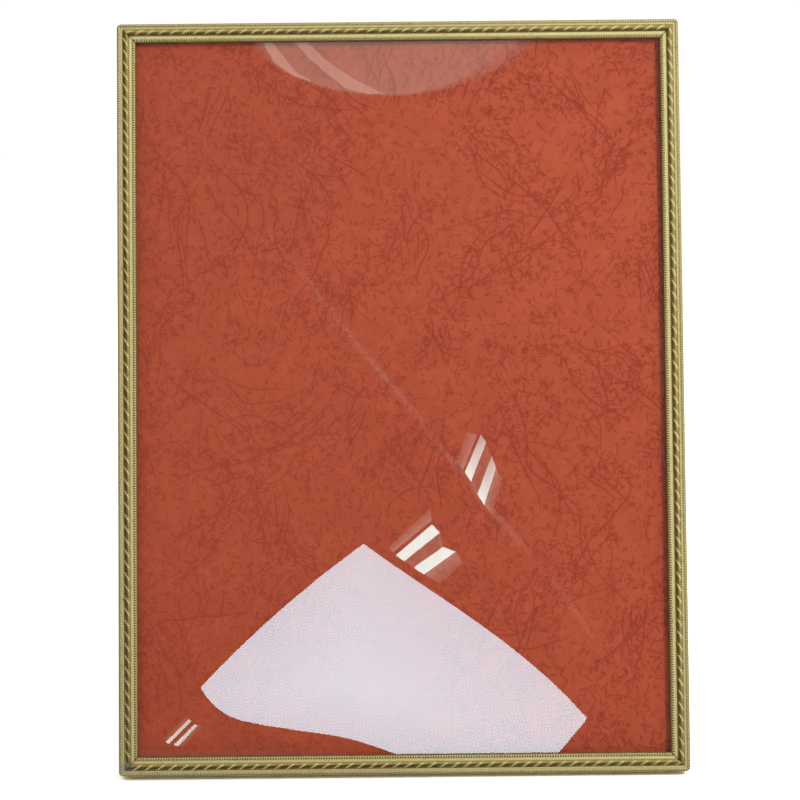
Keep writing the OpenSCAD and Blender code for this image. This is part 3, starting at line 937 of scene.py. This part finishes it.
def finish_node(name, material, bevel):
    """Gives a CAD node its material and softens its sharp edges."""
    node = frame["nodes"][name]
    node.data.materials.clear()
    node.data.materials.append(material)
    if bevel:
        weld = node.modifiers.new("weld", "WELD")
        weld.merge_threshold = 1e-6
        soft = node.modifiers.new("soft_edges", "BEVEL")
        soft.width = bevel * MM
        soft.segments = 2
        soft.limit_method = "ANGLE"
        soft.angle_limit = math.radians(35)
        soft.harden_normals = True
        soft.use_clamp_overlap = True


# Slot, edge rounding in millimetres, names.
DRESSES = (
    ("plain_brass", 0.0, "corner_keys button_rivets strut_rivet stay_rivet_back hanger_rivet hanger_ring"),
    ("plain_brass", 0.08, "stay_rivet_strut"),
    ("plain_brass", 0.10, "hanger_strap"),
    ("plain_brass", 0.12, "turn_button_1 turn_button_2 turn_button_3 turn_button_4"),
    ("red_card", 0.0, "insert_card"),
    ("grey_card", 0.0, "packing_card"),
    ("hardboard", 0.0, "back_board strut_board"),
    ("dark_paper", 0.0, "back_cover"),
    ("dark_paper", 0.10, "strut_cover"),
    ("tinned_steel", 0.0, "hinge_rivets"),
    ("tinned_steel", 0.02, "button_washers"),
    ("tinned_steel", 0.12, "hinge_base hinge_pin hinge_leaf"),
)


def dress_nodes(looks):
    """The looks of all CAD nodes that stay in sight."""
    for slot, bevel, names in DRESSES:
        for name in names.split():
            finish_node(name, looks[slot], bevel)


# ---- Studio ----

CAMERA_FAR = 0.62
CAMERA_PITCH = math.radians(2.725)
CAMERA_ROLL = math.radians(-0.567)
CAMERA_LENS = 86.88
AIM_ASIDE = -0.35
AIM_DOWN = 1.84
SEEN_MIDDLE = 120.36
# Metres from the glazing to the cards that it mirrors, and how much further the fainter ones stand.
REFLECTOR_FAR = 0.50
BEHIND = 0.004


def emission_material(name, tint, strength, sharp_only=True):
    """A stage light whose glow each point can dim; sharp_only keeps it out of the satin brass."""
    material, tree = new_material(name)
    glow = times(tree, attribute(tree, "glow"), strength)
    if sharp_only:
        glow = times(tree, glow, put(tree, "LightPath", out="Is Singular Ray"))
    surface(tree, put(tree, "Emission", {"Color": colour(*tint), "Strength": glow}))
    return material


def reflector(name, corners, material, glow=1.0, faces=None):
    """A flat stage card that only mirrors see; glow is one number or one for each corner."""
    card = mesh_object(name, np.array(corners), faces or [range(len(corners))], material)
    point_value(card, "glow", np.broadcast_to(glow, len(corners)))
    for ray in ("camera", "diffuse", "transmission", "volume_scatter", "shadow"):
        setattr(card, "visible_" + ray, False)


def camera_axes():
    """Where the camera stands, the point it looks at, and its own right and up ways."""
    target = to_row([(AIM_ASIDE, FLOOR_V, FRAME_H / 2 - AIM_DOWN)])[0]
    ahead = BACK * math.cos(CAMERA_PITCH) + UP * math.sin(CAMERA_PITCH)
    upward = np.cross(ACROSS, ahead)
    turned_right = ACROSS * math.cos(CAMERA_ROLL) + upward * math.sin(CAMERA_ROLL)
    turned_up = upward * math.cos(CAMERA_ROLL) - ACROSS * math.sin(CAMERA_ROLL)
    return target - ahead * CAMERA_FAR, target, turned_right, turned_up


def mirrored(points):
    """What the camera sees at (x, u) on the glazing, as points of a card in front of it."""
    eye, target, right, upward = camera_axes()
    seen = [target + (right * x + upward * (u - SEEN_MIDDLE)) * MM for x, u in points]
    eye = to_local([eye])[0]
    ray = to_local(seen) - eye
    at = eye + ray * ((GLASS_LOW[1] - eye[1]) / ray[:, 1])[:, None]
    ray[:, 1] *= -1
    ray *= (REFLECTOR_FAR / MM / -ray[:, 1])[:, None]
    return to_row(at + ray)


def bezier_points(controls, count):
    """Points along a cubic curve with four control points, without its last one."""
    a, b, c, d = (np.array(point, float) for point in controls)
    t = np.linspace(0, 1, count + 1)[:-1, None]
    return list(a * (1 - t) ** 3 + 3 * b * t * (1 - t) ** 2 + 3 * c * t**2 * (1 - t) + d * t**3)


def arc_points(start, end, sag, count):
    """Points from start towards end on a shallow bow; sag is its share of the length."""
    start, end = np.array(start, float), np.array(end, float)
    aside = np.array([-(end - start)[1], (end - start)[0]])
    share = np.linspace(0, 1, count + 1)[:-1, None]
    return list(start + (end - start) * share + aside * sag * 4 * share * (1 - share))


# What the glazing mirrors, as corners (x, u) that the camera sees: bright tubes with dim bands beside them.
TUBES = (
    (((25.9, 109.3), (27.6, 106.7), (22.7, 94.0), (20.8, 97.2)), (0.30, 0.55, 1.0, 1.0)),
    (((29.4, 102.3), (30.8, 98.4), (27.0, 86.6), (24.9, 90.1)), (0.35, 0.60, 1.0, 1.0)),
    (((10.3, 80.4), (12.8, 77.7), (1.4, 68.6), (-1.4, 70.5)), 1.0),
    (((13.9, 73.2), (17.8, 71.6), (7.8, 64.3), (4.4, 66.5)), 1.0),
    (((-67.9, 17.8), (-67.0, 17.3), (-74.2, 10.0), (-75.2, 10.5)), (0.6, 0.6, 0.75, 0.75)),
    (((-66.1, 16.2), (-64.9, 15.9), (-71.3, 9.1), (-72.6, 9.6)), (0.6, 0.6, 0.75, 0.75)),
)
BANDS = (
    (((21.3, 109.9), (24.9, 109.4), (20.2, 97.6), (18.2, 100.8)), (0.3, 1.0, 1.0, 0.3)),
    (((27.6, 106.7), (29.4, 102.3), (24.9, 90.1), (22.7, 94.0)), (0.35, 0.35, 0.4, 0.4)),
    (((30.8, 98.4), (33.1, 94.8), (29.7, 83.4), (27.0, 86.6)), (1.0, 0.3, 0.3, 1.0)),
    (((9.6, 85.6), (10.3, 81.8), (-2.2, 71.4), (-3.7, 73.0)), (0.3, 1.0, 1.0, 0.4)),
    (((12.8, 77.7), (13.9, 73.2), (4.4, 66.5), (1.4, 68.6)), 0.5),
    (((18.0, 71.8), (20.4, 67.8), (13.0, 61.3), (8.0, 64.2)), (1.0, 0.4, 0.3, 1.0)),
    (((-69.0, 18.6), (-67.9, 17.8), (-75.2, 10.5), (-76.2, 11.4)), (0.1, 0.6, 0.6, 0.1)),
    (((-64.9, 15.9), (-63.8, 14.8), (-69.9, 8.6), (-71.3, 9.1)), (0.6, 0.1, 0.1, 0.6)),
)
PANEL_RIM = 0.87
PANEL_MIDDLE = 1.04
PANEL_BOW = 0.025
CURVE_POINTS = 10
FOOT_POINTS = 8
PANEL_TOP = (-11.7, 74.2)
PANEL_LEFT = (-64.1, 28.1)
PANEL_RIGHT = (60.0, 18.3)
PANEL_SHOULDER = (PANEL_TOP, (12.6, 56.4), (39.5, 42.0), PANEL_RIGHT)
PANEL_FOOT = (
    ((2.0, 5.4), (-8.0, 9.2), (-14.0, 11.4), (-22.5, 12.8)),
    ((-22.5, 12.8), (-32.0, 14.1), (-43.0, 15.6), (-50.5, 17.3)),
    ((-50.5, 17.3), (-56.5, 18.6), (-61.5, 23.2), PANEL_LEFT),
)
OVAL = (
    ((-49.5, 238), (-44, 226), (-25, 218.3), (-3.3, 218.3)),
    ((-3.3, 218.3), (13, 218.3), (38, 225), (48, 239)),
)
OVAL_RIM = 0.24
STREAK_GLOW = 1.5
STREAKS = (
    ((-44.5, 236), (-41.2, 235.6), (-36.7, 229.8), (-33.1, 225.5),
     (-28.1, 222.6), (-33.9, 224.4), (-40.3, 228.7)),
    ((-34.5, 236), (-29.9, 235.4), (-23.1, 229), (-14.5, 223.3), (-5.1, 218.7),
     (-10.2, 218.7), (-17.4, 220.4), (-23.1, 224.8), (-29.6, 230.5)),
)
LEDGE_GLOW = (0.41, 0.0, 0.0, 0.41)
LEDGES = (((-84, 5.5), (-84, 8.6), (-30, 8.6), (-12, 5.5)), ((54, 5.5), (56, 8.6), (84, 8.6), (84, 5.5)))


def cards(kind, rows, material, further=0.0):
    """One card for each row of corners and glow."""
    for i, (corners, glow) in enumerate(rows):
        reflector(f"{kind}_card_{i}", mirrored(corners) - BACK * further, material, glow)


def build_oval(material):
    """A faint oval that fades out towards its ends, most at the right."""
    left, right = (bezier_points(controls, CURVE_POINTS) for controls in OVAL)
    outer = np.array(left + right + [OVAL[1][3]])
    middle = np.array([outer[:, 0].mean(), outer[:, 1].max()])
    fade = 0.04 + 0.18 * smooth(5, 45, outer[:, 0]) + 0.08 * smooth(-38, -47, outer[:, 0])
    inner = outer + (middle - outer) * fade[:, None]
    count = len(outer)
    faces = [tuple(range(count, 2 * count))]
    faces += [(i, i + 1, count + i + 1, count + i) for i in range(count - 1)]
    corners = mirrored(np.concatenate([outer, inner])) - BACK * BEHIND
    reflector("oval_card", corners, material, [OVAL_RIM] * count + [1.0] * count, faces)


def build_panel(material):
    """The large soft panel, a little dimmer at its rim."""
    outline = bezier_points(PANEL_SHOULDER, CURVE_POINTS) + [PANEL_RIGHT, (59.5, 17.3), (49.5, 5.4)]
    for controls in PANEL_FOOT:
        outline += bezier_points(controls, FOOT_POINTS)
    outline += arc_points(PANEL_LEFT, PANEL_TOP, PANEL_BOW, FOOT_POINTS)
    count = len(outline)
    fan = [(i, (i + 1) % count, count) for i in range(count)]
    corners = mirrored(outline + [np.mean(outline, axis=0)])
    reflector("panel_card", corners, material, [PANEL_RIM] * count + [PANEL_MIDDLE], fan)


def build_reflections():
    """The panel, tubes, bands, streaks, oval and ledges that the glazing mirrors."""
    build_panel(emission_material("panel_light", (0.56, 0.87, 1.0), 8.9))
    tube = emission_material("tube_light", (0.62, 0.96, 0.92), 10.0)
    band = emission_material("band_light", (0.85, 1.0, 0.88), 1.5)
    oval = emission_material("oval_light", (0.55, 1.0, 0.92), 1.15)
    cards("tube", TUBES, tube)
    cards("band", BANDS, band, BEHIND)
    cards("streak", [(corners, STREAK_GLOW) for corners in STREAKS], band)
    build_oval(oval)
    cards("ledge", [(corners, LEDGE_GLOW) for corners in LEDGES], oval, BEHIND)


def build_surround():
    """Dark glossy-only cards: a quiet patch round the camera, and a dim side at the left and below."""
    dark = emission_material("dark_surround", (0.30, 0.24, 0.20), 0.05, False)
    quiet = emission_material("quiet_patch", (0.30, 0.25, 0.22), 0.30, False)
    spread = [(-120, -20), (120, -20), (120, 262), (-120, 262)]
    reflector("quiet_card", mirrored(spread) - BACK * 2 * BEHIND, quiet, [0.8, 1.3, 3.4, 2.6])
    near, far, high = -0.9, 0.7, 0.75
    aside, wide, low = -0.32, 0.45, 0.0003
    left = [(aside, far, 0.0), (aside, near, 0.0), (aside, near, high), (aside, far, high)]
    reflector("left_card", left, dark)
    under_front, under_rear = FRONT_EDGE[1] + 0.0006, FRONT_EDGE[1] + 0.014
    for name, start, end in (("below_card", near, under_front), ("behind_card", under_rear, far)):
        corners = [(2 * aside, end, low), (wide, end, low), (wide, start, low), (2 * aside, start, low)]
        reflector(name, corners, dark)


def area_light(name, place, target, size, power):
    """A soft disc lamp that neither the camera nor a mirror sees."""
    light = bpy.data.lights.new(name, "AREA")
    light.shape = "DISK"
    light.size = size
    light.energy = power
    lamp = new_object(name, light)
    lamp.location = place
    way = Vector(target) - Vector(place)
    lamp.rotation_euler = way.to_track_quat("-Z", "Y").to_euler()
    lamp.visible_camera = False
    lamp.visible_glossy = False


def build_studio():
    """White surroundings, a pale floor, a soft key light from the upper right and one behind."""
    scene = bpy.context.scene
    world = bpy.data.worlds.new("white_studio")
    scene.world = world
    world.use_nodes = True
    background = world.node_tree.nodes["Background"].inputs
    background["Color"].default_value = colour(1.0, 1.0, 1.0)
    background["Strength"].default_value = 1.05
    scene.view_settings.view_transform = "Standard"
    scene.view_settings.look = "None"
    material, tree = new_material("pale_floor")
    principled(tree, colour(0.97, 0.97, 0.97), 0.9, {"Specular IOR Level": 0.1})
    bpy.ops.mesh.primitive_circle_add(vertices=96, radius=6.0, fill_type="NGON")
    floor = bpy.context.object
    floor.name = "floor"
    floor.data.materials.append(material)
    middle = to_row([(0, 0, FRAME_H / 2)])[0]
    area_light("key", middle + np.array([0.34, -0.46, 0.36]), middle, 0.16, 4.75)
    area_light("rear", middle + np.array([-0.6, 0.9, 0.7]), middle, 0.5, 7.0)


def build_camera():
    """The main camera, where the photo was taken from."""
    eye, target, right, upward = (Vector(part) for part in camera_axes())
    data = bpy.data.cameras.new("camera")
    data.lens = CAMERA_LENS
    data.sensor_width = 36.0
    data.clip_start = 0.01
    data.clip_end = 50.0
    camera = new_object("camera", data)
    turn = Matrix((right, upward, (eye - target).normalized())).transposed()
    camera.matrix_world = Matrix.Translation(eye) @ turn.to_4x4()
    bpy.context.scene.camera = camera


# ---- Everything together ----


def build():
    looks = {
        "plain_brass": brass_material("plain_brass_parts", False),
        "red_card": card_material("red_leather_card", (1.0, 1.0, 1.0)),
        "grey_card": board_material("grey_packing", (0.26, 0.25, 0.23), (0.38, 0.36, 0.33), 40.0),
        "hardboard": board_material("brown_hardboard", (0.10, 0.055, 0.028), (0.20, 0.12, 0.065), 45.0),
        "dark_paper": paper_material(),
        "tinned_steel": steel_material(),
    }
    build_camera()
    build_studio()
    build_surround()
    build_reflections()
    build_rails(brass_material("rope_brass_rails", True))
    build_glazing(glass_material())
    build_print(card_material("red_printed_grain", (0.70, 0.37, 0.32)))
    build_ribbon(ribbon_material())
    dress_nodes(looks)


build()
